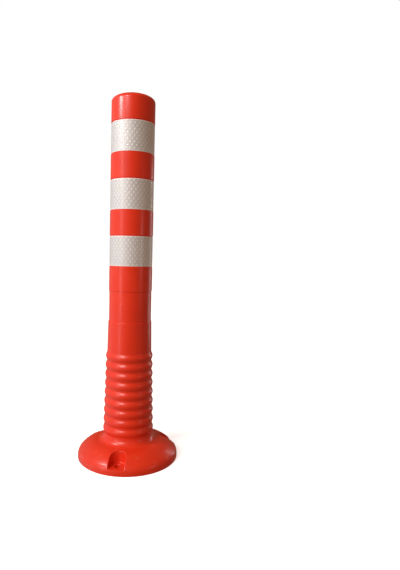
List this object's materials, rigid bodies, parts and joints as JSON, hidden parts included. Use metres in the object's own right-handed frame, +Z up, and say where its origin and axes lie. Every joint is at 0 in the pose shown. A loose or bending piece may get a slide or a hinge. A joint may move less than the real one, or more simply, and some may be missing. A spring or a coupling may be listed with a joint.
{
  "type": "delineator post",
  "caption": "Flexible hollow traffic delineator post with a domed bolt-down base, bending ribs, a closed rounded top and reflective bands glued around the tube.",
  "frame": {"origin": "centre of the underside of the base, on the ground", "axes": "+Z up along the post; -Y is the front, with one bolt pocket 13 degrees to its left"},
  "size_m": [0.21, 0.21, 0.75],
  "materials": {
    "post_moulding": "glossy flexible polyurethane, orange-red",
    "reflective_film": "silver-white prismatic retroreflective film"
  },
  "bodies": {
    "base": {"base_flange": "post_moulding", "flex_section_lower": "post_moulding"},
    "collar": {"flex_collar": "post_moulding", "flex_section_upper": "post_moulding"},
    "upper": {"upper_tube": "post_moulding", "reflective_band_upper": "reflective_film", "reflective_band_middle": "reflective_film", "reflective_band_lower": "reflective_film"}
  },
  "joints": [
    {"name": "knock_down", "type": "hinge", "parent": "base", "child": "collar", "pos_m": [0, 0, 0.1197], "axis": [1, 0, 0], "range_deg": [-90, 90], "stiffness_Nm_per_rad": 35, "deforming": ["flex_section_lower"]},
    {"name": "lean_sideways", "type": "hinge", "parent": "collar", "child": "upper", "pos_m": [0, 0, 0.2473], "axis": [0, 1, 0], "range_deg": [-45, 45], "stiffness_Nm_per_rad": 35, "deforming": ["flex_section_upper"]}
  ]
}
